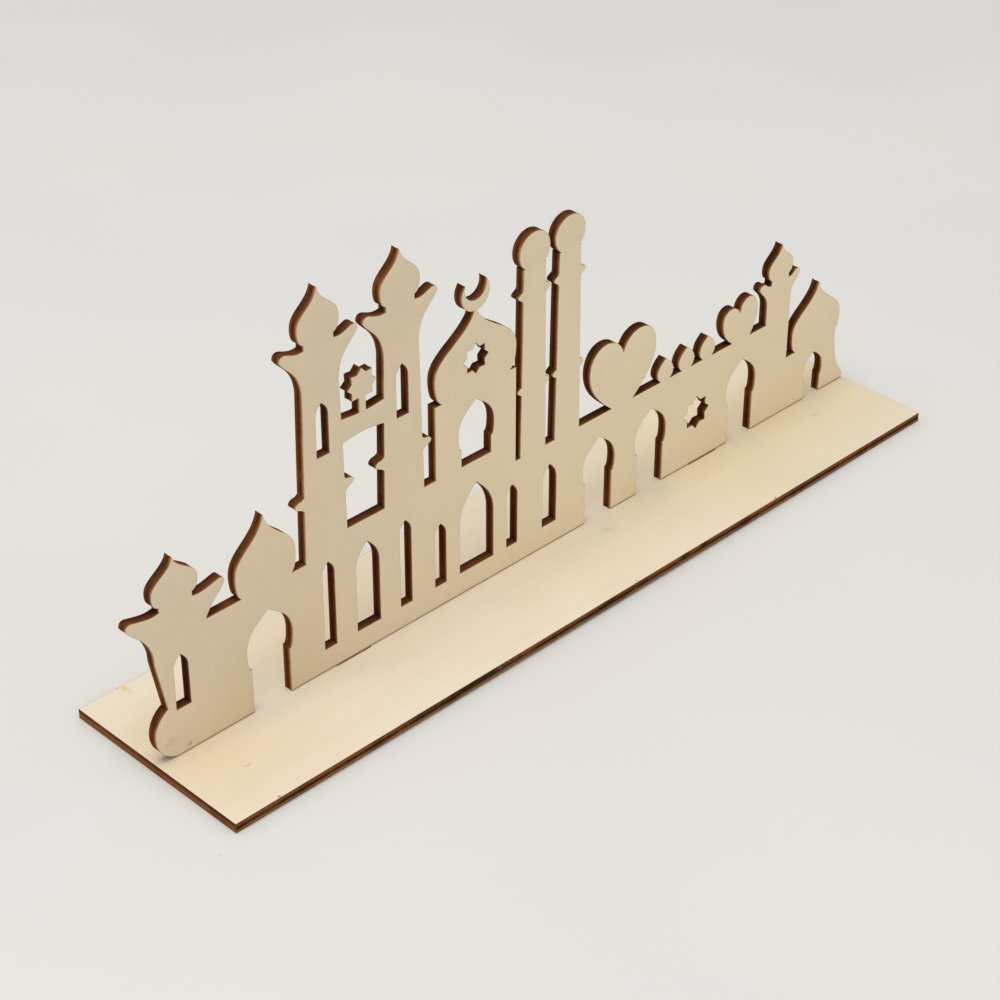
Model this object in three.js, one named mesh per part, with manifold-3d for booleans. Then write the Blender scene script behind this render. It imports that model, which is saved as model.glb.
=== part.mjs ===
// A plywood skyline that stands upright in two slots of a flat plywood base.
// Millimetres, +Z up. The origin is the middle of the base's underside, +X runs along
// the base, and the front of the upright panel looks towards -Y.
// Both boards are laser-cut from one kind of three-ply sheet, and each ply is a solid.

import * as THREE from "three";
import { mergeVertices } from "three/addons/utils/BufferGeometryUtils.js";
import Module from "manifold-3d";

const wasm = await Module();
wasm.setup();

// Sheet: a core between two face veneers
const FACE_PLY = 1.05;
const CORE_PLY = 1.1;

// Base board, and the slots that take the panel's tabs
const BASE_LENGTH = 300;
const BASE_WIDTH = 70;
const TAB_SPACING = 154;
const TAB_WIDTH = 12.5;
const TAB_RECESS = 0.2; // from the tab's end up to the base's underside
const SLOT_SIDE_CLEARANCE = 0.15;
const SLOT_END_CLEARANCE = 0.35;

// Places along the panel, measured from the middle of the base
const TURRET_X = -139.5;
const GATE_X = -108;
const TWIN_LEFT_X = -85.5;
const TWIN_RIGHT_X = -55.5;
const HALL_X = -26.5;
const SLIM_LEFT_X = -2.6;
const SLIM_RIGHT_X = 12.2;
const BIG_HEART_X = 37;
const SMALL_HEART_X = 95;
const RIGHT_MINARET_X = 112;
const KIOSK_X = 133;

// Walls that link the buildings
const GATE_WALL = 41;
const LINK_WALL = 46;
const ARCADE_WALL = 38;
const LINTEL = 8; // wall left above a door or window
const SILL = 8; // wall left below a window
const SEAT = 1.5; // how far one outline sinks into the one that carries it
const HEART_SEAT = 4; // the same for a heart's point
const LIP = 2.6; // thickness of a flared tip

// Turret at the left end, with a round foot
const TURRET_FOOT = 4;
const TURRET_SHAFT = 17;
const TURRET_BALCONY = 34;
const TURRET_BALCONY_LEVEL = 50;
const TURRET_CAP = 16;
const TURRET_CAP_HEIGHT = 14;
const TURRET_WINDOW = 5;
const TURRET_SILL = 16;
const ROUND_FOOT_RADIUS = 9.5;
const ROUND_FOOT_REACH = 1; // from the turret's middle to the foot's

// Gate
const GATE_DOME = 22;
const GATE_DOME_HEIGHT = 24;
const GATE_DOOR = 14;

// Twin minarets and the bridge between them
const TWIN_SHAFT = 13.5;
const TWIN_FOOT = 18;
const TWIN_LEDGE = 22;
const TWIN_LEDGE_LEVEL = 60;
const TWIN_BALCONY = 28;
const TWIN_BALCONY_LEVEL = 109;
const TWIN_CAP = 15;
const TWIN_CAP_HEIGHT = 16;
const TWIN_WINDOW = 4.5;
const TWIN_WINDOW_HEIGHT = 17;
const TWIN_WINDOW_LEVEL = 74;
const BRIDGE_LEVEL = 72;
const BRIDGE_DEPTH = 10;
const BRIDGE_STAR_RADIUS = 5.5;
const BRIDGE_STEM_WIDTH = 2.6;
const BRIDGE_STEM_HEIGHT = 3;
const LINK_WINDOW = 9;

// Hall with the main dome
const HALL_WIDTH = 33;
const HALL_WALL = 71;
const HALL_WINDOW = 14;
const HALL_SIDE_WINDOW = 4.5;
const HALL_SIDE_REACH = 15; // from the hall's middle to its side windows
const HALL_UPPER_WINDOW = 12;
const HALL_DOME = 33;
const HALL_DOME_HEIGHT = 27;
const HALL_STAR_RADIUS = 5;
const HALL_CRESCENT_RADIUS = 5.6;

// Slim minarets with round finials
const SLIM_SHAFT = 9;
const SLIM_FOOT = 12;
const SLIM_COLLAR = 13.5;
const SLIM_COLLAR_LEVELS = [60, 92];
const SLIM_TOP = 102;
const SLIM_FINIAL_RADIUS = 6.3;
const SLIM_WINDOW = 6;

// Arcade: its doors, leaf-shaped merlons and hearts
const ARCADE_DOOR = 12;
const ARCADE_DOOR_PLACES = [27, 51, 95];
const ARCADE_STAR_RADIUS = 6;
const MERLON_WIDTH = 8;
const MERLON_HEIGHT = 8;
const MERLON_PITCH = 10;
const MERLON_START_X = 57;
const MERLON_COUNT = 3;
const BIG_HEART_WIDTH = 30;
const BIG_HEART_HEIGHT = 28;
const SMALL_HEART_WIDTH = 17;
const SMALL_HEART_HEIGHT = 18;
const SMALL_HEART_LEAN = 10; // degrees, towards the left

// Right minaret, kiosk and the buttress at its foot
const RIGHT_SHAFT = 12;
const RIGHT_BALCONY = 20;
const RIGHT_BALCONY_LEVEL = 52;
const RIGHT_CAP = 12;
const RIGHT_CAP_HEIGHT = 12;
const KIOSK_WIDTH = 22;
const KIOSK_WALL = 21;
const KIOSK_DOOR = 8;
const KIOSK_DOME = 25;
const KIOSK_DOME_HEIGHT = 23;
const BUTTRESS_REACH = 6;
const BUTTRESS_HEIGHT = 17;

const SHEET = 2 * FACE_PLY + CORE_PLY;
const TAB_PLACES = [-TAB_SPACING / 2, TAB_SPACING / 2];
const BELOW = 1; // how far a door's cut runs out under the panel
const CHORD_ERROR = 0.08; // how far a curve's straight steps may stray from it

// How far a curve bends in all, in radians
function bend(curve) {
  const pieces = 12;
  let sum = 0;
  for (let i = 0; i < pieces; i++) {
    sum += curve.getTangent(i / pieces).angleTo(curve.getTangent((i + 1) / pieces));
  }
  return sum;
}

// Points along a path: a straight run keeps its ends, and a curve gets as many as
// CHORD_ERROR asks for its length and bend
function sampled(path) {
  const points = [];
  for (const curve of path.curves) {
    const steps = Math.max(1, Math.ceil(Math.sqrt((bend(curve) * curve.getLength()) / (8 * CHORD_ERROR))));
    for (let i = 0; i < steps; i++) points.push(curve.getPoint(i / steps));
  }
  points.push(path.curves.at(-1).getPoint(1));
  return points;
}

// A closed outline that is the same left and right of x. drawHalf draws its right half
// from the lowest middle point to the highest, with x measured from the middle.
function symmetric(x, level, drawHalf) {
  const half = new THREE.Path();
  drawHalf(half);
  const right = sampled(half);
  const left = right.slice(1, -1).reverse();
  return new THREE.Shape([
    ...right.map((p) => new THREE.Vector2(x + p.x, level + p.y)),
    ...left.map((p) => new THREE.Vector2(x - p.x, level + p.y)),
  ]);
}

function rectangle(left, right, bottom, top) {
  const shape = new THREE.Shape();
  shape.moveTo(left, bottom);
  shape.lineTo(right, bottom);
  shape.lineTo(right, top);
  shape.lineTo(left, top);
  return shape;
}

function disc(x, level, radius) {
  const path = new THREE.Path();
  path.absarc(x, level, radius, 0, 2 * Math.PI);
  return new THREE.Shape(sampled(path).slice(0, -1));
}

// In the outlines below, each bare share such as 0.3 * height sets a curve's handle or a
// proportion of the ornament, so that an ornament keeps its character at any size.

// Adds an onion's side to a half outline: out to its bulge, then in to an ogee point
function addOnion(half, level, bulge, height) {
  const widest = level + 0.3 * height;
  half.bezierCurveTo(0.96 * bulge, level + 0.04 * height, bulge, level + 0.16 * height, bulge, widest);
  half.bezierCurveTo(bulge, level + 0.62 * height, 0.16 * bulge, level + 0.66 * height, 0, level + height);
}

function onionDome(x, level, { bulge, height }) {
  const foot = 0.42 * bulge;
  return symmetric(x, level, (half) => {
    half.moveTo(0, -SEAT);
    half.lineTo(foot, -SEAT);
    half.lineTo(foot, 0);
    addOnion(half, 0, bulge / 2, height);
  });
}

// A tapering shaft, a balcony that flares to rounded tips, a neck and an onion cap
function minaret(x, { foot, shaft, balcony, level, cap, capHeight }) {
  const flare = (balcony - shaft) / 2;
  const neck = 0.36 * cap;
  const capLevel = level + 0.1 * flare + SEAT;
  const tip = balcony / 2;
  return symmetric(x, 0, (half) => {
    half.moveTo(0, 0);
    half.lineTo(foot / 2, 0);
    half.lineTo(shaft / 2, level - 1.9 * flare);
    half.bezierCurveTo(shaft / 2, level - 0.7 * flare, tip - 0.3 * flare, level - 0.5 * flare, tip, level);
    half.quadraticCurveTo(tip, level + LIP, tip - LIP, level + 0.7 * LIP);
    half.quadraticCurveTo(neck + 0.3 * flare, level, neck, level + 0.1 * flare);
    half.lineTo(neck, capLevel);
    addOnion(half, capLevel, cap / 2, capHeight);
  });
}

// A band round a shaft that flares to rounded tips
function ledge(x, level, { shaft, width }) {
  const flare = (width - shaft) / 2;
  const tip = width / 2;
  return symmetric(x, level, (half) => {
    half.moveTo(0, -1.2 * flare);
    half.lineTo(shaft / 2, -1.2 * flare);
    half.quadraticCurveTo(shaft / 2, -0.2 * flare, tip - 0.5 * LIP, 0);
    half.quadraticCurveTo(tip + 0.5 * LIP, 0.5 * LIP, tip - 0.5 * LIP, LIP);
    half.quadraticCurveTo(shaft / 2, LIP, shaft / 2, LIP + 0.8 * flare);
    half.lineTo(0, LIP + 0.8 * flare);
  });
}

// An opening with straight jambs and a pointed head
function lancet(x, sill, { width, height }) {
  const spring = height - 0.95 * width;
  return symmetric(x, sill, (half) => {
    half.moveTo(0, 0);
    half.lineTo(width / 2, 0);
    half.lineTo(width / 2, spring);
    half.bezierCurveTo(width / 2, spring + 0.5 * width, 0.2 * width, height - 0.2 * width, 0, height);
  });
}

// An opening whose head swells past its jambs and ends in a point
function horseshoe(x, sill, { width, height }) {
  const head = 1.2 * width;
  const spring = height - 1.05 * head;
  return symmetric(x, sill, (half) => {
    half.moveTo(0, 0);
    half.lineTo(width / 2, 0);
    half.lineTo(width / 2, spring);
    half.quadraticCurveTo(head / 2, spring, head / 2, spring + 0.35 * head);
    half.bezierCurveTo(head / 2, spring + 0.75 * head, 0.2 * head, height - 0.16 * head, 0, height);
  });
}

// A door that is open at the panel's bottom edge, under a wall of the given height
function door(x, width, wall) {
  return horseshoe(x, -BELOW, { width, height: wall - LINTEL + BELOW });
}

// A crescent with its horns up
function crescent(x, level, radius) {
  const bite = 0.78 * radius;
  const rise = 0.42 * radius;
  const meet = (rise ** 2 + radius ** 2 - bite ** 2) / (2 * rise);
  const outer = Math.asin(meet / radius);
  const inner = Math.asin((meet - rise) / bite);
  const path = new THREE.Path();
  path.absarc(x, level, radius, Math.PI - outer, outer, false);
  path.absarc(x, level + rise, bite, inner, -Math.PI - inner, true);
  return new THREE.Shape(sampled(path).slice(0, -1));
}

function star(x, level, radius) {
  const corners = [];
  const points = 8;
  for (let i = 0; i < 2 * points; i++) {
    const angle = Math.PI / 2 + (i * Math.PI) / points;
    const reach = i % 2 ? 0.74 * radius : radius;
    corners.push(new THREE.Vector2(x + reach * Math.cos(angle), level + reach * Math.sin(angle)));
  }
  return new THREE.Shape(corners);
}

// A heart on its point, leaning left by lean degrees
function heart(x, level, { width, height, lean }) {
  const upright = symmetric(0, 0, (half) => {
    half.moveTo(0, 0);
    half.bezierCurveTo(0.22 * width, 0.2 * height, 0.5 * width, 0.4 * height, 0.5 * width, 0.7 * height);
    half.bezierCurveTo(0.5 * width, 1.1 * height, 0.08 * width, 1.1 * height, 0, 0.8 * height);
  });
  const turn = THREE.MathUtils.degToRad(lean);
  const point = new THREE.Vector2(0, 0);
  const place = new THREE.Vector2(x, level);
  return new THREE.Shape(upright.getPoints().map((p) => p.rotateAround(point, turn).add(place)));
}

// A leaf-shaped merlon on top of a wall
function merlon(x, level) {
  return symmetric(x, level, (half) => {
    half.moveTo(0, -SEAT);
    half.lineTo(0.28 * MERLON_WIDTH, -SEAT);
    half.lineTo(0.28 * MERLON_WIDTH, 0);
    half.bezierCurveTo(
      0.62 * MERLON_WIDTH,
      0.3 * MERLON_HEIGHT,
      0.46 * MERLON_WIDTH,
      0.7 * MERLON_HEIGHT,
      0,
      MERLON_HEIGHT,
    );
  });
}

// A footbridge between two shafts, arched from below and dipped on top
function bridge(left, right, level, depth) {
  const middle = (left + right) / 2;
  const path = new THREE.Path();
  path.moveTo(left, level);
  path.quadraticCurveTo(middle, level + 0.7 * depth, right, level);
  path.lineTo(right, level + 1.2 * depth);
  path.quadraticCurveTo(middle, level + 0.8 * depth, left, level + 1.2 * depth);
  return new THREE.Shape(sampled(path));
}

// A buttress against a wall's right side, hollow outside, with a rounded toe
function buttress(wall, reach, height) {
  const path = new THREE.Path();
  const toe = wall + reach - 0.4 * LIP;
  path.moveTo(wall - SEAT, 0);
  path.lineTo(toe, 0);
  path.quadraticCurveTo(toe + 0.6 * LIP, 0.6 * LIP, toe, 1.2 * LIP);
  path.quadraticCurveTo(wall + 0.2 * reach, 0.4 * height, wall, height);
  path.lineTo(wall - SEAT, height);
  return new THREE.Shape(sampled(path));
}

// Extrudes a flat outline to a sheet of unit thickness
function sheetOf(shape) {
  const geometry = new THREE.ExtrudeGeometry(shape, { depth: 1, bevelEnabled: false });
  geometry.deleteAttribute("normal");
  geometry.deleteAttribute("uv");
  const merged = mergeVertices(geometry, 1e-4);
  const mesh = new wasm.Mesh({
    numProp: 3,
    vertProperties: merged.attributes.position.array,
    triVerts: new Uint32Array(merged.index.array),
  });
  return new wasm.Manifold(mesh);
}

function joined(shapes) {
  return shapes.map(sheetOf).reduce((all, one) => all.add(one));
}

const turret = [
  disc(TURRET_X - ROUND_FOOT_REACH, ROUND_FOOT_RADIUS, ROUND_FOOT_RADIUS),
  minaret(TURRET_X, {
    foot: TURRET_FOOT,
    shaft: TURRET_SHAFT,
    balcony: TURRET_BALCONY,
    level: TURRET_BALCONY_LEVEL,
    cap: TURRET_CAP,
    capHeight: TURRET_CAP_HEIGHT,
  }),
];

const gate = [
  rectangle(TURRET_X, TWIN_LEFT_X, 0, GATE_WALL),
  onionDome(GATE_X, GATE_WALL, { bulge: GATE_DOME, height: GATE_DOME_HEIGHT }),
];

function twinMinaret(x) {
  return [
    minaret(x, {
      foot: TWIN_FOOT,
      shaft: TWIN_SHAFT,
      balcony: TWIN_BALCONY,
      level: TWIN_BALCONY_LEVEL,
      cap: TWIN_CAP,
      capHeight: TWIN_CAP_HEIGHT,
    }),
    ledge(x, TWIN_LEDGE_LEVEL, { shaft: TWIN_SHAFT, width: TWIN_LEDGE }),
  ];
}

const BRIDGE_X = (TWIN_LEFT_X + TWIN_RIGHT_X) / 2;
const BRIDGE_TOP = BRIDGE_LEVEL + BRIDGE_DEPTH;
const BRIDGE_STAR_LEVEL = BRIDGE_TOP + BRIDGE_STEM_HEIGHT + BRIDGE_STAR_RADIUS;
const twins = [
  ...twinMinaret(TWIN_LEFT_X),
  ...twinMinaret(TWIN_RIGHT_X),
  bridge(TWIN_LEFT_X, TWIN_RIGHT_X, BRIDGE_LEVEL, BRIDGE_DEPTH),
  rectangle(
    BRIDGE_X - BRIDGE_STEM_WIDTH / 2,
    BRIDGE_X + BRIDGE_STEM_WIDTH / 2,
    BRIDGE_TOP - SEAT,
    BRIDGE_STAR_LEVEL,
  ),
  star(BRIDGE_X, BRIDGE_STAR_LEVEL, BRIDGE_STAR_RADIUS),
  rectangle(TWIN_LEFT_X, HALL_X, 0, LINK_WALL),
];

const hall = [
  rectangle(HALL_X - HALL_WIDTH / 2, HALL_X + HALL_WIDTH / 2, 0, HALL_WALL),
  onionDome(HALL_X, HALL_WALL, { bulge: HALL_DOME, height: HALL_DOME_HEIGHT }),
  crescent(HALL_X, HALL_WALL + HALL_DOME_HEIGHT + HALL_CRESCENT_RADIUS - SEAT, HALL_CRESCENT_RADIUS),
];

function slimMinaret(x) {
  const shaft = symmetric(x, 0, (half) => {
    half.moveTo(0, 0);
    half.lineTo(SLIM_FOOT / 2, 0);
    half.lineTo(SLIM_SHAFT / 2, SLIM_TOP);
    half.lineTo(0, SLIM_TOP);
  });
  return [
    shaft,
    ...SLIM_COLLAR_LEVELS.map((level) => ledge(x, level, { shaft: SLIM_SHAFT, width: SLIM_COLLAR })),
    disc(x, SLIM_TOP + SLIM_FINIAL_RADIUS - SEAT, SLIM_FINIAL_RADIUS),
  ];
}

const merlonPlaces = Array.from({ length: MERLON_COUNT }, (_, i) => MERLON_START_X + i * MERLON_PITCH);
const arcade = [
  rectangle(HALL_X, RIGHT_MINARET_X, 0, ARCADE_WALL),
  ...merlonPlaces.map((x) => merlon(x, ARCADE_WALL)),
  heart(BIG_HEART_X, ARCADE_WALL - HEART_SEAT, {
    width: BIG_HEART_WIDTH,
    height: BIG_HEART_HEIGHT,
    lean: 0,
  }),
  heart(SMALL_HEART_X, ARCADE_WALL - HEART_SEAT, {
    width: SMALL_HEART_WIDTH,
    height: SMALL_HEART_HEIGHT,
    lean: SMALL_HEART_LEAN,
  }),
];

const kioskRight = KIOSK_X + KIOSK_WIDTH / 2;
const rightEnd = [
  minaret(RIGHT_MINARET_X, {
    foot: RIGHT_SHAFT,
    shaft: RIGHT_SHAFT,
    balcony: RIGHT_BALCONY,
    level: RIGHT_BALCONY_LEVEL,
    cap: RIGHT_CAP,
    capHeight: RIGHT_CAP_HEIGHT,
  }),
  rectangle(RIGHT_MINARET_X, kioskRight, 0, KIOSK_WALL),
  onionDome(KIOSK_X, KIOSK_WALL, { bulge: KIOSK_DOME, height: KIOSK_DOME_HEIGHT }),
  buttress(kioskRight, BUTTRESS_REACH, BUTTRESS_HEIGHT),
];

const skyline = joined([
  ...turret,
  ...gate,
  ...twins,
  ...hall,
  ...slimMinaret(SLIM_LEFT_X),
  ...slimMinaret(SLIM_RIGHT_X),
  ...arcade,
  ...rightEnd,
]);

// A window in a wall that stands on the base
function wallWindow(x, width, wall) {
  return lancet(x, SILL, { width, height: wall - LINTEL - SILL });
}

const openings = joined([
  lancet(TURRET_X, TURRET_SILL, {
    width: TURRET_WINDOW,
    height: TURRET_BALCONY_LEVEL - 2 * LINTEL - TURRET_SILL,
  }),
  door(GATE_X, GATE_DOOR, GATE_WALL),
  ...[TWIN_LEFT_X, TWIN_RIGHT_X].flatMap((x) => [
    wallWindow(x, TWIN_WINDOW, LINK_WALL),
    lancet(x, TWIN_WINDOW_LEVEL, { width: TWIN_WINDOW, height: TWIN_WINDOW_HEIGHT }),
  ]),
  wallWindow(BRIDGE_X, LINK_WINDOW, LINK_WALL),
  wallWindow(HALL_X - HALL_SIDE_REACH, HALL_SIDE_WINDOW, ARCADE_WALL),
  wallWindow(HALL_X, HALL_WINDOW, LINK_WALL),
  wallWindow(HALL_X + HALL_SIDE_REACH, HALL_SIDE_WINDOW, ARCADE_WALL),
  horseshoe(HALL_X, LINK_WALL, {
    width: HALL_UPPER_WINDOW,
    height: HALL_WALL - LINK_WALL - LINTEL / 2,
  }),
  star(HALL_X, HALL_WALL + 0.36 * HALL_DOME_HEIGHT, HALL_STAR_RADIUS),
  wallWindow((SLIM_LEFT_X + SLIM_RIGHT_X) / 2, SLIM_WINDOW, ARCADE_WALL),
  ...ARCADE_DOOR_PLACES.map((x) => door(x, ARCADE_DOOR, ARCADE_WALL)),
  star((ARCADE_DOOR_PLACES[1] + ARCADE_DOOR_PLACES[2]) / 2, ARCADE_WALL / 2, ARCADE_STAR_RADIUS),
  door(KIOSK_X, KIOSK_DOOR, KIOSK_WALL + LINTEL / 2),
]);

const tabs = joined(
  TAB_PLACES.map((x) => rectangle(x - TAB_WIDTH / 2, x + TAB_WIDTH / 2, TAB_RECESS - SHEET, SEAT)),
);

const panel = skyline.subtract(openings).add(tabs);

function slot(x) {
  const halfLength = TAB_WIDTH / 2 + SLOT_END_CLEARANCE;
  const halfWidth = SHEET / 2 + SLOT_SIDE_CLEARANCE;
  return rectangle(x - halfLength, x + halfLength, -halfWidth, halfWidth);
}

const board = rectangle(-BASE_LENGTH / 2, BASE_LENGTH / 2, -BASE_WIDTH / 2, BASE_WIDTH / 2);
const base = sheetOf(board).subtract(joined(TAB_PLACES.map(slot)));

// A ply cut from a unit sheet. place gives the ply's x, y and z for the outline's x and y,
// and for a depth of 0 or 1 in the sheet.
function ply(sheet, place) {
  const { vertProperties, triVerts } = sheet.getMesh();
  const position = [];
  for (let i = 0; i < vertProperties.length; i += 3) {
    position.push(...place(vertProperties[i], vertProperties[i + 1], vertProperties[i + 2]));
  }
  const geometry = new THREE.BufferGeometry();
  geometry.setAttribute("position", new THREE.Float32BufferAttribute(position, 3));
  geometry.setIndex([...triVerts]);
  return geometry;
}

function flatPly(bottom, thickness) {
  return ply(base, (x, y, depth) => [x, y, bottom + depth * thickness]);
}

function uprightPly(front, thickness) {
  return ply(panel, (x, y, depth) => [x, front + (1 - depth) * thickness, SHEET + y]);
}

const VENEER = { color: 0xe4d4b4, roughness: 0.62, metalness: 0 };
const CORE = { color: 0x8a5a32, roughness: 0.8, metalness: 0 };

const part = new THREE.Group();

function addPiece(name, geometry, finish) {
  const mesh = new THREE.Mesh(geometry, new THREE.MeshStandardMaterial(finish));
  mesh.name = name;
  part.add(mesh);
}

addPiece("base_bottom_veneer", flatPly(0, FACE_PLY), VENEER);
addPiece("base_core", flatPly(FACE_PLY, CORE_PLY), CORE);
addPiece("base_top_veneer", flatPly(FACE_PLY + CORE_PLY, FACE_PLY), VENEER);
addPiece("panel_front_veneer", uprightPly(-SHEET / 2, FACE_PLY), VENEER);
addPiece("panel_core", uprightPly(-CORE_PLY / 2, CORE_PLY), CORE);
addPiece("panel_back_veneer", uprightPly(CORE_PLY / 2, FACE_PLY), VENEER);

export default part;
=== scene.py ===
import math

import bpy
import numpy as np
from mathutils import Matrix, Vector
from mathutils.geometry import delaunay_2d_cdt


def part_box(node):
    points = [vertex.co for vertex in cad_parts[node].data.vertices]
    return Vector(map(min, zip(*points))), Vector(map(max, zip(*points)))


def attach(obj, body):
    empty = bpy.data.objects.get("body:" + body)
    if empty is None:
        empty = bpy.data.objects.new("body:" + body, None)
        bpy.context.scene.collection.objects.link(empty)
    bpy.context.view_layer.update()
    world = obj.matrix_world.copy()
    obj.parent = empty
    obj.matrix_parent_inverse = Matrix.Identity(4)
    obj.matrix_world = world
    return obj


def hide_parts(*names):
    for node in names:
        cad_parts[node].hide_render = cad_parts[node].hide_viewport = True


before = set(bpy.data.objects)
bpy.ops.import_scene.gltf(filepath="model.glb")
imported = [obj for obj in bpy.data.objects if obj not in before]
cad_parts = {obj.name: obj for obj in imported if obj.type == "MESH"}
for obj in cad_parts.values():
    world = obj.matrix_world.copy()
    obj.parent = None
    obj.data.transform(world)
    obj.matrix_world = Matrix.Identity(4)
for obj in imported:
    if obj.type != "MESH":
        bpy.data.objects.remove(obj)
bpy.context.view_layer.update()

# A skyline panel of plywood that plugs into a flat base. Each of the six plies stands for a
# node of the frame. Lengths are written in millimetres, and times MM they are metres.
MM = 0.001
X, Y, Z = range(3)

# Shape of a laser-cut edge
RIM = 0.14  # rounding where the laser broke through a face
RIM_FAR = 0.45 * RIM
RIM_NEAR = 0.12 * RIM
GLUE_GROOVE = 0.05  # notch on each side of a glue line
CORE_RECESS = 0.04  # the core burns back a little more than the veneers

# A ply's corner in section, from its face to its edge, as (inset, depth) pairs
ROUND_CORNER = [(RIM, 0), (RIM_FAR, RIM_NEAR), (RIM_NEAR, RIM_FAR), (0, RIM)]
NOTCH_CORNER = [(GLUE_GROOVE, 0), (0, GLUE_GROOVE)]

# A ply's corners at its seen side and at its hidden one
SEEN_VENEER = (ROUND_CORNER, NOTCH_CORNER)
CORE_PLY = (NOTCH_CORNER, NOTCH_CORNER)
HIDDEN_VENEER = (NOTCH_CORNER, ROUND_CORNER)

# The four finishes of a ply, in the order of its material slots
SEEN_FACE, OUTER_EDGE, OPENING_EDGE, HIDDEN_FACE = range(4)

# Outlines
SAME_POINT = 0.02  # points nearer than this are one point
WELD_DECIMALS = 3  # corners that agree to this many decimals are one corner
CORNER_ANGLE = math.radians(28)  # sharper turns of an outline stay corners
STEP_ANGLE = math.radians(4)  # a curve turns no more than this between two points
LONG_RATIO = 2.0  # a run this much longer than its neighbour is a straight one
MITRE_LIMIT = 1.5  # an inset corner moves no further than this many insets
LEAST_LENGTH = 1e-9  # keeps a run of no length from dividing by nought

# Faces and shading
CAP_GRID = 9.0  # spacing of the points inside a face
CAP_MARGIN = 1.5  # least distance from those points to the outline
HULL_TRIANGLES = 0  # asks the triangulation for every triangle within the points' hull
TRIANGLE_TOLERANCE = 1e-5
ADDED_POINT = -1  # stands for a point that the triangulation added
SHARP_ANGLE = math.radians(20)  # edges of a ply that turn more are shaded as sharp


def srgb(red, green, blue):
    """A colour given as 0 to 255, as the shaders want it."""
    def linear(value):
        value /= 255
        return value / 12.92 if value <= 0.04045 else ((value + 0.055) / 1.055) ** 2.4
    return (linear(red), linear(green), linear(blue), 1.0)


def add_object(name, data):
    made = bpy.data.objects.new(name, data)
    bpy.context.scene.collection.objects.link(made)
    return made


class Board:
    """A sheet of three plies, with two axes along its faces and one through it.

    Its seen side is where the turn from the first axis to the second is anticlockwise, and
    facing is 1 where that side looks along the axis through the board, and otherwise -1.
    """

    def __init__(self, body, plies, across, up, through, facing):
        self.body = body
        self.plies = plies
        self.across = across
        self.up = up
        self.through = through
        self.facing = facing
        self.seen = self.sides(plies[0])[0]
        self.hidden = self.sides(plies[-1])[1]

    def sides(self, node):
        """A ply's levels on the axis through the board, the seen side's first."""
        low, high = (corner[self.through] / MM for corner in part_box(node))
        return (high, low) if self.facing > 0 else (low, high)

    def place(self, u, v, level):
        point = [0.0, 0.0, 0.0]
        point[self.across] = u
        point[self.up] = v
        point[self.through] = level
        return point


base = Board("base", ["base_top_veneer", "base_core", "base_bottom_veneer"], X, Y, Z, 1)
panel = Board("panel", ["panel_front_veneer", "panel_core", "panel_back_veneer"], X, Z, Y, -1)


# Outlines of the plies


def signed_area(loop):
    ahead = np.roll(loop, -1, axis=0)
    return 0.5 * float(np.sum(loop[:, 0] * ahead[:, 1] - ahead[:, 0] * loop[:, 1]))


def outline_loops(board, node):
    """The closed loops round a ply's seen face, as arrays of flat points in millimetres.

    The outer loop comes first. Material lies on the left of each loop's direction.
    """
    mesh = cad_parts[node].data
    points = np.empty(len(mesh.vertices) * 3)
    mesh.vertices.foreach_get("co", points)
    points = points.reshape(-1, 3) / MM
    rounded = np.round(points, WELD_DECIMALS)
    _, first, same = np.unique(rounded, axis=0, return_index=True, return_inverse=True)
    points = points[first]
    same = same.reshape(-1)
    on_face = np.abs(points[:, board.through] - board.sides(node)[0]) < SAME_POINT
    directed = set()
    for polygon in mesh.polygons:
        corners = [int(same[v]) for v in polygon.vertices]
        if all(on_face[c] for c in corners):
            directed.update(zip(corners, corners[1:] + corners[:1]))
    follow = {a: b for a, b in directed if (b, a) not in directed}
    loops = []
    while follow:
        start, step = follow.popitem()
        loop = [start]
        while step != start:
            loop.append(step)
            step = follow.pop(step)
        loops.append(points[loop][:, [board.across, board.up]])
    loops.sort(key=lambda loop: -abs(signed_area(loop)))
    if signed_area(loops[0]) < 0:
        loops = [loop[::-1] for loop in loops]
    return loops


def unit(vectors):
    return vectors / np.maximum(np.linalg.norm(vectors, axis=-1, keepdims=True), LEAST_LENGTH)


def turn_between(a, b):
    return math.atan2(a[0] * b[1] - a[1] * b[0], a[0] * b[0] + a[1] * b[1])


def tangents(heading, length):
    """The outline's direction where each run starts and ends, or None at a corner."""
    count = len(length)
    leaving = [None] * count
    arriving = [None] * count
    for i in range(count):
        before = i - 1
        if abs(turn_between(heading[before], heading[i])) > CORNER_ANGLE:
            continue
        if length[before] > LONG_RATIO * length[i]:
            tangent = heading[before]
        elif length[i] > LONG_RATIO * length[before]:
            tangent = heading[i]
        else:
            tangent = unit(heading[before] * length[i] + heading[i] * length[before])
        leaving[i] = tangent
        arriving[before] = tangent
    return leaving, arriving


def curve_point(t, a, b, start, end, length):
    """The point at t, from 0 to 1, of a cubic curve from a to b with the given directions."""
    return (
        (2 * t**3 - 3 * t**2 + 1) * a
        + (t**3 - 2 * t**2 + t) * length * start
        + (3 * t**2 - 2 * t**3) * b
        + (t**3 - t**2) * length * end
    )


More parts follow.
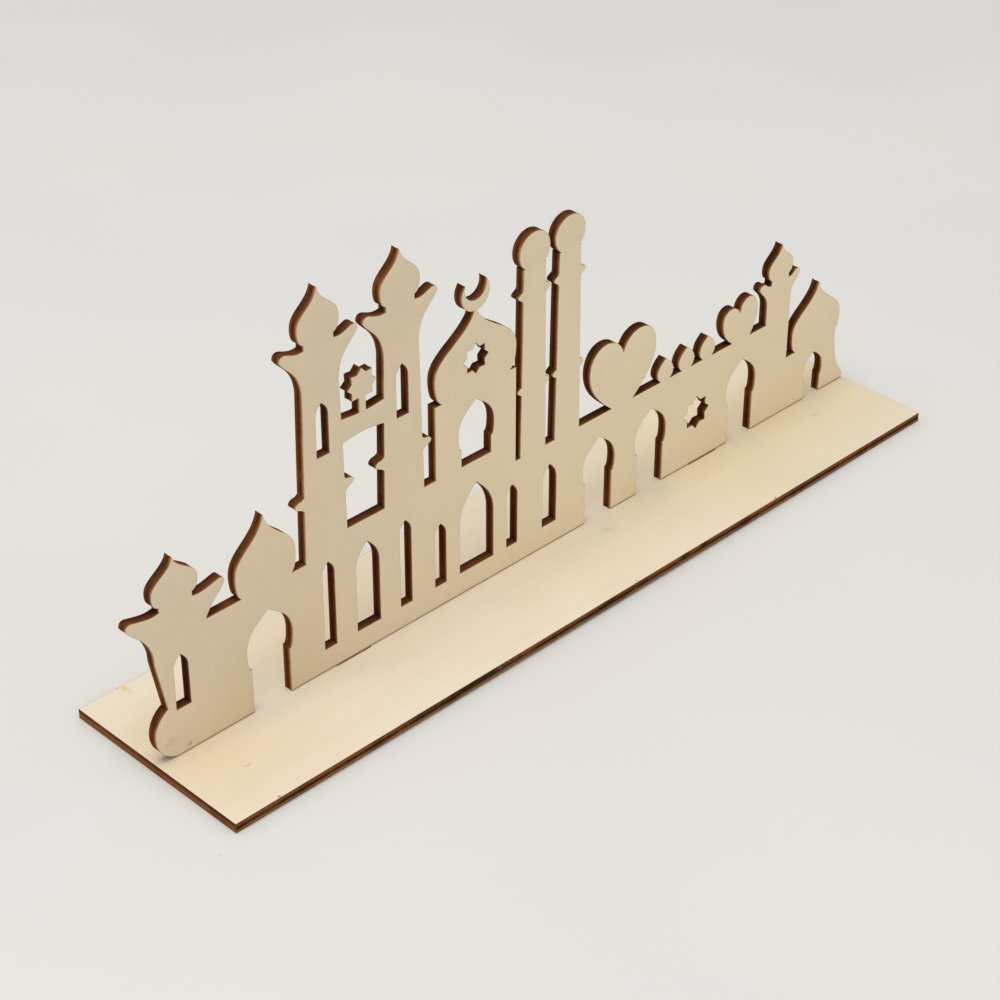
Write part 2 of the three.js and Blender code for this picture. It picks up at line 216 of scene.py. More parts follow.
def smoothed(loop):
    """Puts more points on an outline's curves, and leaves its corners and straight runs."""
    keep = np.linalg.norm(np.roll(loop, 1, axis=0) - loop, axis=1) > SAME_POINT
    loop = loop[keep]
    run = np.roll(loop, -1, axis=0) - loop
    length = np.linalg.norm(run, axis=1)
    heading = unit(run)
    leaving, arriving = tangents(heading, length)
    points = []
    for i, along in enumerate(heading):
        start, end = leaving[i], arriving[i]
        if start is None and end is None:
            start = end = along
        elif start is None:
            start = 2 * np.dot(along, end) * along - end
        elif end is None:
            end = 2 * np.dot(along, start) * along - start
        bend = abs(turn_between(start, along)) + abs(turn_between(along, end))
        steps = max(1, math.ceil(bend / STEP_ANGLE))
        a, b = loop[i], loop[(i + 1) % len(loop)]
        points += [curve_point(step / steps, a, b, start, end, length[i]) for step in range(steps)]
    return np.array(points)


def inset(loop, distance):
    """The loop moved into its material, with its sharp corners cut short."""
    heading = unit(np.roll(loop, -1, axis=0) - loop)
    inward = np.stack([-heading[:, 1], heading[:, 0]], axis=1)
    middle = unit(inward + np.roll(inward, 1, axis=0))
    stretch = 1 / np.maximum(np.sum(middle * inward, axis=1), 1 / MITRE_LIMIT)
    return loop + middle * stretch[:, None] * distance


# Faces inside the outlines


def inside(points, loops):
    """Which points lie in the material."""
    crossings = np.zeros(len(points), int)
    for loop in loops:
        ahead = np.roll(loop, -1, axis=0)
        for (ax, ay), (bx, by) in zip(loop, ahead):
            if ay == by:
                continue
            spans = (points[:, 1] < max(ay, by)) & (points[:, 1] >= min(ay, by))
            meet = ax + (points[:, 1] - ay) * (bx - ax) / (by - ay)
            crossings += spans & (points[:, 0] < meet)
    return crossings % 2 == 1


def face_points(loops):
    """Points inside a face, on a grid and clear of its outline."""
    low = np.min([loop.min(0) for loop in loops], axis=0)
    high = np.max([loop.max(0) for loop in loops], axis=0)
    columns = np.arange(low[0] + CAP_GRID / 2, high[0], CAP_GRID)
    rows = np.arange(low[1] + CAP_GRID / 2, high[1], CAP_GRID)
    grid = np.stack(np.meshgrid(columns, rows), axis=-1).reshape(-1, 2)
    grid = grid[inside(grid, loops)]
    outline = np.concatenate(loops)
    gap = np.linalg.norm(grid[:, None] - outline[None], axis=2).min(1)
    return grid[gap > CAP_MARGIN]


def filled(loops):
    """Triangles that fill the loops: the extra points and the corners of each triangle."""
    outline = np.concatenate(loops)
    extra = face_points(loops)
    every = np.concatenate([outline, extra])
    edges = []
    start = 0
    for loop in loops:
        ring = list(range(start, start + len(loop)))
        edges += zip(ring, ring[1:] + ring[:1])
        start += len(loop)
    flat = [Vector(point) for point in every]
    made = delaunay_2d_cdt(flat, edges, [], HULL_TRIANGLES, TRIANGLE_TOLERANCE)
    triangles, origin = made[2], made[3]
    given = [sources[0] if sources else ADDED_POINT for sources in origin]
    corners = np.array([[given[c] for c in triangle] for triangle in triangles])
    corners = corners[(corners != ADDED_POINT).all(axis=1)]
    centres = every[corners].mean(axis=1)
    return extra, corners[inside(centres, loops)]


# Plies


def edge_outlines(board, node, corners, recess):
    """A ply's edge from its seen side to its hidden one, as pairs of a level and its loops."""
    seen, hidden = board.sides(node)
    way = math.copysign(1, hidden - seen)
    section = [(recess + back, seen + way * down) for back, down in corners[0]]
    section += [(recess + back, hidden - way * down) for back, down in corners[1][::-1]]
    loops = [smoothed(loop) for loop in outline_loops(board, node)]
    low, high = (np.array(corner)[[board.across, board.up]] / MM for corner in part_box(node))
    return [
        (level, [np.clip(inset(loop, distance), low, high) for loop in loops])
        for distance, level in section
    ]


def ply_surface(board, rows):
    """Points, faces and the faces' finishes of a ply, from its edge's outlines."""
    points = []
    faces = []
    finish = []
    starts = []
    for level, loops in rows:
        starts.append([])
        for loop in loops:
            starts[-1].append(len(points))
            points += [board.place(u, v, level) for u, v in loop]
    counts = [len(loop) for loop in rows[0][1]]
    for upper, lower in zip(starts, starts[1:]):
        for which, (a, b, count) in enumerate(zip(upper, lower, counts)):
            for i in range(count):
                j = (i + 1) % count
                faces.append((a + i, b + i, b + j, a + j))
                finish.append(OPENING_EDGE if which else OUTER_EDGE)
    for row, side in ((0, SEEN_FACE), (-1, HIDDEN_FACE)):
        level, loops = rows[row]
        extra, triangles = filled(loops)
        index = [np.arange(start, start + count) for start, count in zip(starts[row], counts)]
        index = np.concatenate([*index, np.arange(len(points), len(points) + len(extra))])
        points += [board.place(u, v, level) for u, v in extra]
        if side == HIDDEN_FACE:
            triangles = triangles[:, ::-1]
        faces += [tuple(corners) for corners in index[triangles].tolist()]
        finish += [side] * len(triangles)
    return points, faces, finish


def cut_ply(name, board, node, corners, recess, finishes, slot):
    """A laser-cut ply that stands for a CAD node: its two faces and the edges between them.

    finishes are those of the seen face, of the outer edge, of the openings' edges and of the
    hidden face.
    """
    points, faces, finish = ply_surface(board, edge_outlines(board, node, corners, recess))
    mesh = bpy.data.meshes.new(name)
    mesh.from_pydata([Vector(point) * MM for point in points], [], faces)
    for material in finishes:
        mesh.materials.append(material)
    mesh.polygons.foreach_set("material_index", finish)
    mesh.polygons.foreach_set("use_smooth", [True] * len(faces))
    mesh.set_sharp_from_angle(angle=SHARP_ANGLE)
    mesh.validate()
    piece = add_object(name, mesh)
    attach(piece, board.body)
    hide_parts(node)


def cut_board(board, names, face, edge, opening, slot):
    """A board's three plies, with the finishes of its faces, outer edge and openings."""
    cuts = (
        (SEEN_VENEER, 0.0, (face, edge, opening, edge), slot),
        (CORE_PLY, CORE_RECESS, (edge, edge, opening, edge), "core_ply"),
        (HIDDEN_VENEER, 0.0, (edge, edge, opening, face), slot),
    )
    for name, node, cut in zip(names, board.plies, cuts):
        cut_ply(name, board, node, *cut)


# Shader helpers

# The Mix node's sockets for two colours and for their mixture
MIX_FIRST, MIX_SECOND, MIX_RESULT = 6, 7, 2


class Wiring:
    """Adds nodes to one node tree. An input is given a plain value or another node's output."""

    def __init__(self, tree):
        self.tree = tree

    def fill(self, made, inputs):
        for key, value in inputs.items():
            if isinstance(value, bpy.types.NodeSocket):
                self.tree.links.new(value, made.inputs[key])
            else:
                made.inputs[key].default_value = value
        return made

    def node(self, kind, inputs=None, **settings):
        made = self.tree.nodes.new("ShaderNode" + kind)
        for name, value in settings.items():
            setattr(made, name, value)
        return self.fill(made, inputs or {})

    def use(self, group, inputs):
        return self.fill(self.node("Group", node_tree=group), inputs).outputs

    def math(self, operation, a, b=0.0):
        return self.node("Math", {0: a, 1: b}, operation=operation).outputs[0]

    def share(self, mask, amount):
        return self.math("MULTIPLY", mask, amount)

    def centred(self, noise):
        """Noise that swings about nought."""
        return self.math("SUBTRACT", noise, 0.5)

    def vector(self, operation, a, b):
        return self.node("VectorMath", {0: a, 1: b}, operation=operation).outputs[0]

    def noise(self, vector, scale, detail, roughness=0.55):
        inputs = {"Vector": vector, "Scale": scale, "Detail": detail, "Roughness": roughness}
        return self.node("TexNoise", inputs).outputs[0]

    def stretched_noise(self, vector, waves, detail, roughness=0.55):
        """Noise with its own number of waves per millimetre along each axis."""
        return self.noise(self.vector("MULTIPLY", vector, waves), 1.0, detail, roughness)

    def span(self, value, low, high, start=0.0, end=1.0):
        inputs = {0: value, 1: low, 2: high, 3: start, 4: end}
        return self.node("MapRange", inputs, interpolation_type="SMOOTHSTEP").outputs[0]

    def tint(self, factor, a, b):
        inputs = {0: factor, MIX_FIRST: a, MIX_SECOND: b}
        return self.node("Mix", inputs, data_type="RGBA").outputs[MIX_RESULT]

    def ramp(self, factor, stops):
        made = self.node("ValToRGB", {0: factor})
        elements = made.color_ramp.elements
        while len(elements) < len(stops):
            elements.new(1.0)
        for element, (place, colour) in zip(elements, stops):
            element.position = place
            element.color = colour
        return made.outputs[0]


def shared_effect(name, inputs, outputs, build):
    """A node group with named inputs and outputs, filled in by build(wiring, inputs)."""
    group = bpy.data.node_groups.new(name, "ShaderNodeTree")
    kinds = {"colour": "NodeSocketColor", "value": "NodeSocketFloat", "vector": "NodeSocketVector"}
    for label, kind in inputs.items():
        group.interface.new_socket(name=label, in_out="INPUT", socket_type=kinds[kind])
    for label, kind in outputs.items():
        group.interface.new_socket(name=label, in_out="OUTPUT", socket_type=kinds[kind])
    entry = group.nodes.new("NodeGroupInput")
    result = group.nodes.new("NodeGroupOutput")
    for label, socket in build(Wiring(group), entry.outputs).items():
        group.links.new(socket, result.inputs[label])
    return group


# Veneer figure: waves per millimetre along the grain and across it, and shares of the grain
CLOUD_WAVES = (0.017, 0.026, 0.026)
HAZE_WAVES = (0.030, 0.052, 0.052)
BAND_WAVES = (0.010, 0.34, 0.34)
LINE_WAVES = (0.05, 2.4, 2.4)
PORE_WAVES = (0.45, 7.5, 7.5)
LINE_SHARE = 0.55
PORE_SHARE = 0.9
LINE_RELIEF = 0.5


def build_veneer_figure(w, given):
    """Peeled birch: soft clouds of tone, faint wavy bands, fine lines and short pores."""
    place = given["Grain Position"]
    clouds = given["Cloud Amount"]
    grain = given["Grain Amount"]
    cloud = w.stretched_noise(place, CLOUD_WAVES, detail=2.0)
    haze = w.stretched_noise(place, HAZE_WAVES, detail=2.0)
    band = w.stretched_noise(place, BAND_WAVES, detail=4.0, roughness=0.6)
    line = w.stretched_noise(place, LINE_WAVES, detail=3.0, roughness=0.6)
    pore = w.stretched_noise(place, PORE_WAVES, detail=1.0)
    warm = w.share(w.span(cloud, low=0.38, high=0.66), clouds)
    colour = w.tint(warm, given["Pale"], given["Warm"])
    dull = w.share(w.span(haze, low=0.52, high=0.72), clouds)
    colour = w.tint(dull, colour, given["Dull"])
    wavy = w.share(w.span(band, low=0.44, high=0.72), grain)
    colour = w.tint(wavy, colour, given["Streak"])
    fine = w.share(w.span(line, low=0.48, high=0.70), grain)
    colour = w.tint(w.share(fine, LINE_SHARE), colour, given["Streak"])
    dash = w.share(w.span(pore, low=0.66, high=0.80), grain)
    colour = w.tint(w.share(dash, PORE_SHARE), colour, given["Streak"])
    height = w.math("SUBTRACT", w.share(line, LINE_RELIEF), dash)
    roughness = w.span(line, low=0.3, high=0.7, start=0.54, end=0.64)
    return {"Color": colour, "Roughness": roughness, "Height": height}


veneer_figure = shared_effect(
    "veneer_figure",
    {
        "Grain Position": "vector",
        "Pale": "colour",
        "Warm": "colour",
        "Dull": "colour",
        "Streak": "colour",
        "Grain Amount": "value",
        "Cloud Amount": "value",
    },
    {"Color": "colour", "Roughness": "value", "Height": "value"},
    build_veneer_figure,
)


# Laser burn: how strongly each layer of char shows
TOASTED_PATCHES = 0.35
SOOTY_PATCHES = 0.45
SOOTY_BEAM_MARKS = 0.35
TOASTED_BEAM_MARKS = 0.25
SOOT_GRIT = 0.45
GRIT_RELIEF = 0.5


def build_laser_burn(w, given):
    """Char on a cut edge: beam marks through the sheet, patches along it, and soot specks."""
    striped = given["Striped Position"]
    beam = w.noise(striped, scale=2.6, detail=3.0, roughness=0.65)
    patch = w.noise(striped, scale=0.07, detail=3.0, roughness=0.6)
    grit = w.noise(given["Position"], scale=4.0, detail=3.0, roughness=0.6)
    toasted = w.share(w.span(patch, low=0.50, high=0.72), TOASTED_PATCHES)
    colour = w.tint(toasted, given["Ply Color"], given["Toasted"])
    sooty = w.share(w.span(patch, low=0.50, high=0.30), SOOTY_PATCHES)
    colour = w.tint(sooty, colour, given["Soot"])
    sooty = w.share(w.span(beam, low=0.52, high=0.70), SOOTY_BEAM_MARKS)
    colour = w.tint(sooty, colour, given["Soot"])
    toasted = w.share(w.span(beam, low=0.46, high=0.28), TOASTED_BEAM_MARKS)
    colour = w.tint(toasted, colour, given["Toasted"])
    sooty = w.share(w.span(grit, low=0.56, high=0.72), SOOT_GRIT)
    colour = w.tint(sooty, colour, given["Soot"])
    height = w.math("SUBTRACT", w.share(grit, GRIT_RELIEF), beam)
    roughness = w.span(grit, low=0.3, high=0.7, start=0.74, end=0.88)
    return {"Color": colour, "Roughness": roughness, "Height": height}


laser_burn = shared_effect(
    "laser_burn",
    {
        "Position": "vector",
        "Striped Position": "vector",
        "Ply Color": "colour",
        "Toasted": "colour",
        "Soot": "colour",
    },
    {"Color": "colour", "Roughness": "value", "Height": "value"},
    build_laser_burn,
)


def build_small_mark(w, given):
    """A spot at a centre, as far as its reach along each axis, with a more or less ragged edge."""
    away = w.vector("SUBTRACT", given["Position"], given["Centre"])
    scaled = w.vector("DIVIDE", away, given["Reach"])
    length = w.node("VectorMath", {0: scaled}, operation="LENGTH").outputs["Value"]
    ragged = w.centred(w.noise(given["Position"], scale=0.7, detail=3.0))
    edge = w.math("ADD", length, w.share(ragged, given["Raggedness"]))
    return {"Mask": w.share(w.span(edge, low=1.0, high=0.15), given["Strength"])}


small_mark = shared_effect(
    "small_mark",
    {
        "Position": "vector",
        "Centre": "vector",
        "Reach": "vector",
        "Strength": "value",
        "Raggedness": "value",
    },
    {"Mask": "value"},
    build_small_mark,
)


# Kinds of finish

BUMP_STRENGTH = 0.6
VENEER_RELIEF = 0.03  # depth of the grain's bump
VENEER_GLOSS = 0.3
CHAR_RELIEF = 0.06  # depth of the char's bump
CHAR_GLOSS = 0.03
BEAM_STRETCH = 0.06  # beam marks run through the board, so they change this slowly that way
PLY_WANDER = 0.08  # the plies' bands wander within this share of the board's thickness
WIDE_PATCH = 25.0  # marks that reach this far fade out evenly, and smaller ones are ragged
SPOT_RAGGEDNESS = 1.1


def new_material(name):
    """A material, with its wiring, its shader and its surface's place in millimetres."""
    material = bpy.data.materials.new(name)
    material.use_nodes = True
    material.node_tree.nodes.clear()
    w = Wiring(material.node_tree)
    shader = w.node("BsdfPrincipled")
    output = w.node("OutputMaterial")
    w.tree.links.new(shader.outputs[0], output.inputs[0])
    place = w.node("TexCoord").outputs["Object"]
    place = w.node("VectorMath", {0: place, "Scale": 1 / MM}, operation="SCALE").outputs[0]
    return material, w, shader, place


def finish_surface(w, shader, effect, colour, relief, gloss):
    height = {"Height": effect["Height"], "Distance": relief * MM, "Strength": BUMP_STRENGTH}
    w.fill(
        shader,
        {
            "Base Color": colour,
            "Roughness": effect["Roughness"],
            "Specular IOR Level": gloss,
            "Normal": w.node("Bump", height).outputs[0],
        },
    )


def with_marks(w, place, colour, marks):
    """Lays marks on a colour. Each is (centre, reach, strength, tone) in millimetres."""
    for centre, reach, strength, tone in marks:
        mark = {
            "Position": place,
            "Centre": centre,
            "Reach": reach,
            "Strength": strength,
            "Raggedness": 0.0 if max(reach) >= WIDE_PATCH else SPOT_RAGGEDNESS,
        }
        colour = w.tint(w.use(small_mark, mark)["Mask"], colour, tone)
    return colour


def veneer_face(name, grain_axis, tones, grain, cloud, marks):
    """Bare birch veneer, with tones for its pale, warm and dull wood and its streaks."""
    material, w, shader, place = new_material(name)
    parts = w.node("SeparateXYZ", {0: place}).outputs
    side, other = (axis for axis in (X, Y, Z) if axis != grain_axis)
    turned = {0: parts[grain_axis], 1: parts[side], 2: parts[other]}
    pale, warm, dull, streak = tones
    figure = w.use(
        veneer_figure,
        {
            "Grain Position": w.node("CombineXYZ", turned).outputs[0],
            "Pale": pale,
            "Warm": warm,
            "Dull": dull,
            "Streak": streak,
            "Grain Amount": grain,
            "Cloud Amount": cloud,
        },
    )
    colour = with_marks(w, place, figure["Color"], marks)
    finish_surface(w, shader, figure, colour, VENEER_RELIEF, VENEER_GLOSS)
    return material


def burnt_edge(name, board, grain_axis, long_grain, end_grain, toasted, soot, marks):
    """A laser-cut edge of a board.

    Both ramps go from the seen face to the hidden one: long_grain where the edge runs along
    the face veneers' grain, and end_grain where it cuts across it.
    """
    material, w, shader, place = new_material(name)
    depth = w.node("SeparateXYZ", {0: place}).outputs[board.through]
    depth = w.node("MapRange", {0: depth, 1: board.seen, 2: board.hidden}).outputs[0]
    wander = w.centred(w.noise(place, scale=0.12, detail=2.0))
    depth = w.math("ADD", depth, w.share(wander, PLY_WANDER))
    normal = w.node("TexCoord").outputs["Normal"]
    across = w.math("ABSOLUTE", w.node("SeparateXYZ", {0: normal}).outputs[grain_axis])
    across = w.span(across, low=0.25, high=0.90)
    colour = w.tint(across, w.ramp(depth, long_grain), w.ramp(depth, end_grain))
    striped = w.vector("MULTIPLY", place, board.place(1.0, 1.0, BEAM_STRETCH))
    burn = w.use(
        laser_burn,
        {
            "Position": place,
            "Striped Position": striped,
            "Ply Color": colour,
            "Toasted": toasted,
            "Soot": soot,
        },
    )
    colour = with_marks(w, place, burn["Color"], marks)
    finish_surface(w, shader, burn, colour, CHAR_RELIEF, CHAR_GLOSS)
    return material


# Tones of the wood and of its marks

STREAK = srgb(206, 182, 140)
BASE_TONES = (srgb(244, 230, 208), srgb(242, 226, 198), srgb(238, 224, 200), STREAK)
PANEL_TONES = (srgb(232, 215, 186), srgb(236, 215, 182), srgb(227, 211, 182), STREAK)
SMUDGE_GREY = srgb(150, 138, 120)
STAIN_ORANGE = srgb(234, 192, 122)
STAIN_BROWN = srgb(206, 160, 108)
KNOT_BROWN = srgb(196, 150, 92)
PATCH_GOLD = srgb(240, 218, 174)
DULL_GOLD = srgb(228, 212, 168)
PALE_GOLD = srgb(245, 228, 193)
PATCH_TAN = srgb(218, 199, 158)
SCRATCH_WHITE = srgb(205, 200, 196)
SPECK_RED = srgb(138, 66, 36)
SOOT_BLACK = srgb(50, 38, 26)
CHAR_BLACK = srgb(24, 8, 0)
# dark brown of the panel's foot line, partly char and partly painted contact shade
SCORCH_AND_CONTACT_SHADE_BROWN = srgb(112, 82, 48)

# Marks, each with its centre, its reach along X, Y and Z, its strength and its tone

BASE_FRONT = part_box("base_core")[0][Y] / MM
BASE_FACE_MARKS = [
    (base.place(-134.6, 33.4, base.seen), (1.5, 4.2, 1.0), 0.55, STAIN_ORANGE),
    (base.place(-136.2, 35.0, base.seen), (1.0, 0.8, 1.0), 0.8, KNOT_BROWN),
    (base.place(-131.5, -18.1, base.seen), (2.2, 0.7, 1.0), 0.6, KNOT_BROWN),
    (base.place(-83.2, 15.4, base.seen), (26.0, 9.0, 1.0), 0.30, PATCH_GOLD),
    (base.place(-120.0, -14.0, base.seen), (34.0, 12.0, 1.0), 0.25, PATCH_GOLD),
    (base.place(-146.0, -6.0, base.seen), (34.0, 60.0, 1.0), 0.25, PATCH_GOLD),
    (base.place(110.0, -2.0, base.seen), (115.0, 46.0, 1.0), 0.55, DULL_GOLD),
    (base.place(23.7, -9.0, base.seen), (2.6, 1.6, 1.0), 0.20, SMUDGE_GREY),
    (base.place(123.4, -10.7, base.seen), (2.4, 1.4, 1.0), 0.22, SMUDGE_GREY),
    (base.place(-134.1, -34.3, base.seen), (1.0, 0.6, 1.0), 0.70, SPECK_RED),
    (base.place(10.0, -34.2, base.seen), (0.9, 0.5, 1.0), 0.55, SPECK_RED),
    (base.place(75.5, -34.4, base.seen), (1.0, 0.5, 1.0), 0.65, SPECK_RED),
]
BASE_EDGE_MARKS = [
    (base.place(-80.0, BASE_FRONT, 2.6), (14.0, 0.8, 1.7), 0.60, SOOT_BLACK),
    (base.place(-57.5, BASE_FRONT, 2.5), (20.0, 0.8, 1.9), 0.95, SOOT_BLACK),
    (base.place(-2.5, BASE_FRONT, 2.4), (4.6, 0.8, 1.7), 0.80, SOOT_BLACK),
    (base.place(10.0, BASE_FRONT, 2.6), (11.0, 0.8, 1.5), 0.50, SOOT_BLACK),
    (base.place(31.5, BASE_FRONT, 2.5), (3.8, 0.8, 1.7), 0.85, SOOT_BLACK),
    (base.place(41.0, BASE_FRONT, 2.5), (3.6, 0.8, 1.7), 0.85, SOOT_BLACK),
    (base.place(-49.4, BASE_FRONT, 2.3), (0.16, 0.5, 1.0), 0.9, SCRATCH_WHITE),
    (base.place(-46.0, BASE_FRONT, 2.9), (0.18, 0.5, 0.6), 0.9, SCRATCH_WHITE),
    (base.place(-134.0, BASE_FRONT, 3.0), (0.25, 0.5, 0.7), 0.7, SPECK_RED),
    (base.place(75.0, BASE_FRONT, 3.0), (0.25, 0.5, 0.7), 0.6, SPECK_RED),
]

# The last of these is the dark line along the panel's foot: partly char and partly painted contact
# shade where the panel meets the base.
PANEL_FACE_MARKS = [
    (panel.place(-138.5, 5.4, panel.seen), (1.1, 0.5, 1.1), 0.6, SMUDGE_GREY),
    (panel.place(-144.5, 9.6, panel.seen), (3.0, 0.5, 2.4), 0.18, SMUDGE_GREY),
    (panel.place(27.5, 57.0, panel.seen), (1.6, 0.5, 4.0), 0.55, STAIN_BROWN),
    (panel.place(37.5, 26.0, panel.seen), (0.9, 0.5, 1.3), 0.5, STAIN_BROWN),
    (panel.place(70.0, 40.0, panel.seen), (200.0, 60.0, 150.0), 0.85, PALE_GOLD),
    (panel.place(-106.0, 8.0, panel.seen), (34.0, 60.0, 34.0), 0.5, PATCH_TAN),
    (panel.place(0.0, base.seen, panel.seen), (1000.0, 60.0, 0.8), 0.85, SCORCH_AND_CONTACT_SHADE_BROWN),
]
PANEL_EDGE_MARKS = [(panel.place(75.0, 40.0, 0.3), (210.0, 2.2, 160.0), 0.42, CHAR_BLACK)]

# Bands of the plies on the cut edges, from the seen face, 0, to the hidden one, 1

BASE_LONG_GRAIN_WITH_FOOT_SHADE = [
    (0.00, srgb(116, 80, 50)),
    (0.10, srgb(126, 84, 50)),
    (0.28, srgb(130, 86, 52)),
    (0.36, srgb(112, 66, 36)),
    (0.43, srgb(72, 32, 9)),
    (0.60, srgb(64, 27, 6)),
    (0.66, srgb(96, 58, 28)),
    (0.73, srgb(150, 114, 70)),
    (0.80, srgb(126, 90, 50)),
    (0.86, srgb(150, 114, 70)),
    (0.95, srgb(120, 84, 46)),
    # the darker last stop is partly the burnt lower rim and partly painted contact shade along the
    # edge's foot
    (1.00, srgb(84, 54, 28)),
]
BASE_END_GRAIN = [
    (0.00, srgb(98, 61, 44)),
    (0.12, srgb(88, 51, 32)),
    (0.26, srgb(98, 59, 36)),
    (0.36, srgb(126, 80, 51)),
    (0.50, srgb(146, 93, 56)),
    (0.68, srgb(150, 93, 51)),
    (0.80, srgb(144, 88, 43)),
    (1.00, srgb(148, 92, 46)),
]
PANEL_LONG_GRAIN = [
    (0.00, srgb(212, 176, 138)),
    (0.08, srgb(186, 140, 96)),
    (0.18, srgb(152, 102, 60)),
    (0.34, srgb(110, 60, 26)),
    (0.42, srgb(94, 44, 14)),
    (0.56, srgb(88, 40, 10)),
    (0.66, srgb(106, 56, 20)),
    (0.80, srgb(120, 78, 42)),
    (1.00, srgb(96, 66, 42)),
]
# The openings' edges: the same burnt ply bands as the outer edge, made darker as painted shade
# inside the panel's openings
SHADED_OPENING_LONG_GRAIN = [
    (0.00, srgb(170, 128, 92)),
    (0.08, srgb(136, 88, 54)),
    (0.20, srgb(106, 58, 30)),
    (0.36, srgb(80, 38, 14)),
    (0.58, srgb(62, 28, 8)),
    (0.76, srgb(84, 42, 18)),
    (0.90, srgb(96, 54, 30)),
    (1.00, srgb(70, 42, 28)),
]
PANEL_END_GRAIN = [
    (0.00, srgb(156, 106, 66)),
    (0.10, srgb(124, 74, 42)),
    (0.30, srgb(104, 58, 32)),
    (0.50, srgb(94, 54, 34)),
    (0.68, srgb(82, 48, 33)),
    (0.82, srgb(58, 35, 25)),
    (1.00, srgb(40, 26, 20)),
]

# Finishes

base_face = veneer_face(
    "base_birch",
    grain_axis=X,
    tones=BASE_TONES,
    grain=0.07,
    cloud=0.85,
    marks=BASE_FACE_MARKS,
)
panel_face = veneer_face(
    "panel_birch",
    grain_axis=Z,
    tones=PANEL_TONES,
    grain=0.05,
    cloud=0.8,
    marks=PANEL_FACE_MARKS,
)
panel_edge = burnt_edge(
    "panel_burnt_edge",
    panel,
    grain_axis=Z,
    long_grain=PANEL_LONG_GRAIN,
    end_grain=PANEL_END_GRAIN,
    toasted=srgb(162, 100, 56),
    soot=srgb(44, 20, 8),
    marks=PANEL_EDGE_MARKS,
)
# Edges inside the panel's openings: burnt wood whose bands, toast and soot are darkened as painted
# shade
panel_shaded_opening_edge = burnt_edge(
    "panel_opening_burnt_shaded_edge",
    panel,
    grain_axis=Z,
    long_grain=SHADED_OPENING_LONG_GRAIN,
    end_grain=PANEL_END_GRAIN,
    toasted=srgb(132, 74, 40),
    soot=srgb(38, 16, 6),
    marks=[],
)
base_edge = burnt_edge(
    "base_burnt_edge",
    base,
    grain_axis=X,
    long_grain=BASE_LONG_GRAIN_WITH_FOOT_SHADE,
    end_grain=BASE_END_GRAIN,
    toasted=srgb(150, 98, 58),
    soot=srgb(46, 22, 8),
    marks=BASE_EDGE_MARKS,
)


# Pieces

cut_board(
    base,
    ["base_top_sheet", "base_core_sheet", "base_bottom_sheet"],
    face=base_face,
    edge=base_edge,
    opening=base_edge,
    slot="base_veneer",
)
cut_board(
    panel,
    ["panel_front_sheet", "panel_core_sheet", "panel_back_sheet"],
    face=panel_face,
    edge=panel_edge,
    opening=panel_shaded_opening_edge,
    slot="panel_veneer",
)


# Floor

FLOOR_REACH = 3000.0
SAG_DEPTH = 0.7  # the paper sags a little under the board's front edge
SAG_FROM, SAG_TO = -148.0, 118.0
SAG_MIDDLE, SAG_HALF_WIDTH = -36.0, 34.0
SAG_FULLNESS = 0.5  # below 1 the sag nears its full depth closer to its ends
SAG_STEP = 4.0
PAPER = srgb(236, 234, 229)
PAPER_SHADE = srgb(234, 232, 228)
PAPER_FLECK = srgb(190, 186, 178)
FLECK_STRENGTH = 0.25
PAPER_ROUGHNESS = 0.85
PAPER_GLOSS = 0.1


def sag(x, y):
    along = (x - SAG_FROM) / (SAG_TO - SAG_FROM)
    across = abs(y - SAG_MIDDLE) / SAG_HALF_WIDTH
    if not 0 < along < 1 or across > 1:
        return 0.0
    lengthways = math.sin(math.pi * along) ** SAG_FULLNESS
    crossways = 0.5 + 0.5 * math.cos(math.pi * across)
    return -SAG_DEPTH * lengthways * crossways


def floor_paper():
    material, w, shader, place = new_material("studio_floor_paper")
    cloud = w.noise(place, scale=0.006, detail=2.0)
    fleck = w.noise(place, scale=0.25, detail=2.0)
    colour = w.tint(w.span(cloud, low=0.35, high=0.65), PAPER, PAPER_SHADE)
    flecked = w.share(w.span(fleck, low=0.74, high=0.80), FLECK_STRENGTH)
    colour = w.tint(flecked, colour, PAPER_FLECK)
    w.fill(
        shader,
        {"Base Color": colour, "Roughness": PAPER_ROUGHNESS, "Specular IOR Level": PAPER_GLOSS},
    )
    return material


def make_floor():
    columns = [-FLOOR_REACH, *np.arange(SAG_FROM, SAG_TO + SAG_STEP, SAG_STEP), FLOOR_REACH]
    low = SAG_MIDDLE - SAG_HALF_WIDTH
    rows = np.arange(low, low + 2 * SAG_HALF_WIDTH + SAG_STEP, SAG_STEP)
    rows = [-FLOOR_REACH, *rows, FLOOR_REACH]
    points = [Vector((x, y, sag(x, y))) * MM for y in rows for x in columns]
    width = len(columns)
    quads = []
    for row in range(len(rows) - 1):
        for column in range(width - 1):
            corner = row * width + column
            quads.append((corner, corner + 1, corner + 1 + width, corner + width))
    mesh = bpy.data.meshes.new("studio_floor")
    mesh.from_pydata(points, [], quads)
    mesh.polygons.foreach_set("use_smooth", [True] * len(quads))
    mesh.materials.append(floor_paper())
    add_object("studio_floor", mesh)


# Light

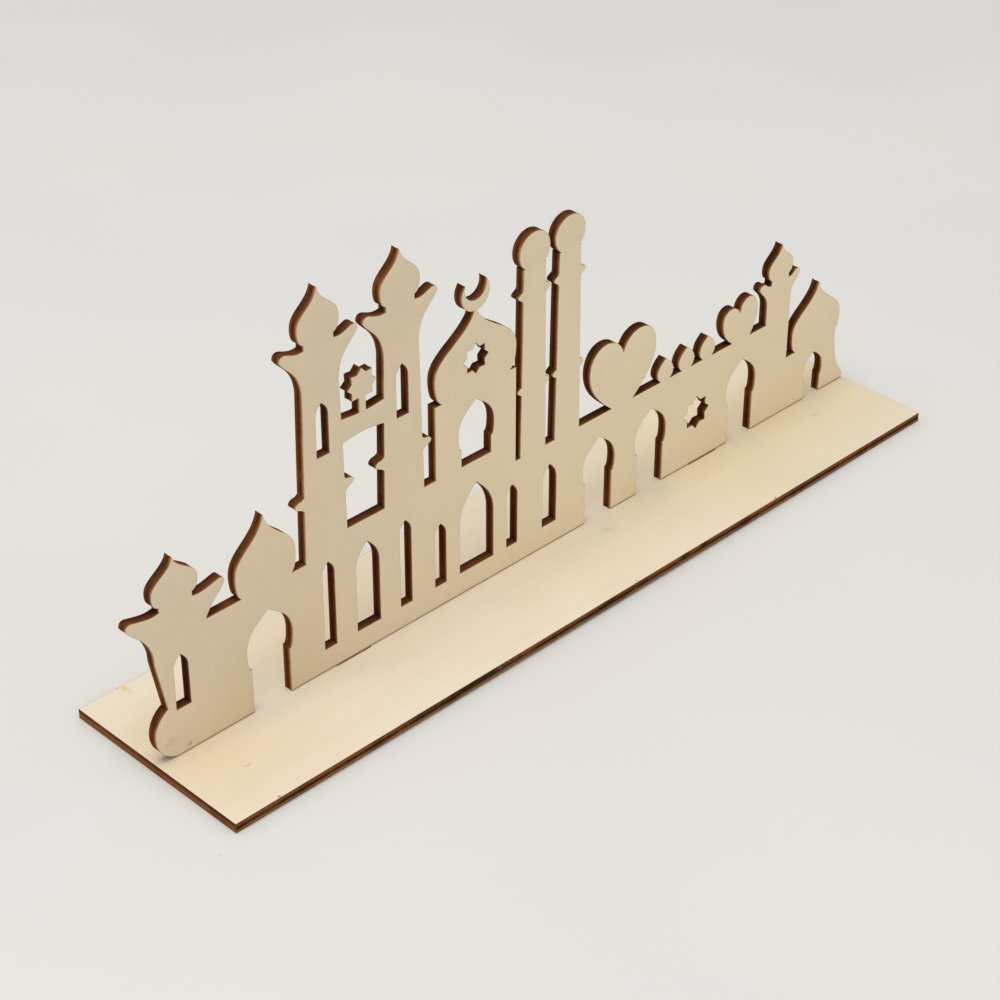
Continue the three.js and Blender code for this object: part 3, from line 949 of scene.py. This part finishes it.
WORLD_WHITE = (1.0, 1.0, 1.0, 1.0)
WORLD_STRENGTH = 0.58
SOFTBOX_PLACE = (-330.0, -120.0, 1400.0)
SOFTBOX_WIDTH = 800.0
SOFTBOX_POWER = 8.6  # watts


def make_light():
    world = bpy.data.worlds.new("studio_air")
    bpy.context.scene.world = world
    world.use_nodes = True
    background = world.node_tree.nodes["Background"]
    background.inputs["Color"].default_value = WORLD_WHITE
    background.inputs["Strength"].default_value = WORLD_STRENGTH
    light = bpy.data.lights.new("overhead_softbox", "AREA")
    light.size = SOFTBOX_WIDTH * MM
    light.energy = SOFTBOX_POWER
    softbox = add_object("overhead_softbox", light)
    softbox.location = Vector(SOFTBOX_PLACE) * MM
    softbox.rotation_euler = Vector(SOFTBOX_PLACE).to_track_quat("Z", "Y").to_euler()


# Camera

CAMERA_PLACE = (-469.2, -457.2, 461.1)
CAMERA_AZIMUTH = math.radians(-44.81)  # from the object's front left, as in the photograph
CAMERA_ELEVATION = math.radians(33.87)
CAMERA_ROLL = math.radians(0.178)
CAMERA_LENS = 92.09  # focal length


def make_camera():
    back = Vector(
        (
            math.sin(CAMERA_AZIMUTH) * math.cos(CAMERA_ELEVATION),
            -math.cos(CAMERA_AZIMUTH) * math.cos(CAMERA_ELEVATION),
            math.sin(CAMERA_ELEVATION),
        )
    )
    right = Vector((math.cos(CAMERA_AZIMUTH), math.sin(CAMERA_AZIMUTH), 0))
    up = back.cross(right)
    rolled_right = math.cos(CAMERA_ROLL) * right + math.sin(CAMERA_ROLL) * up
    rolled_up = math.cos(CAMERA_ROLL) * up - math.sin(CAMERA_ROLL) * right
    turn = Matrix((rolled_right, rolled_up, back)).transposed().to_4x4()
    data = bpy.data.cameras.new("table_view")
    data.lens = CAMERA_LENS
    camera = add_object("table_view", data)
    camera.matrix_world = Matrix.Translation(Vector(CAMERA_PLACE) * MM) @ turn
    bpy.context.scene.camera = camera


make_floor()
make_light()
make_camera()
bpy.context.scene.view_settings.view_transform = "Standard"
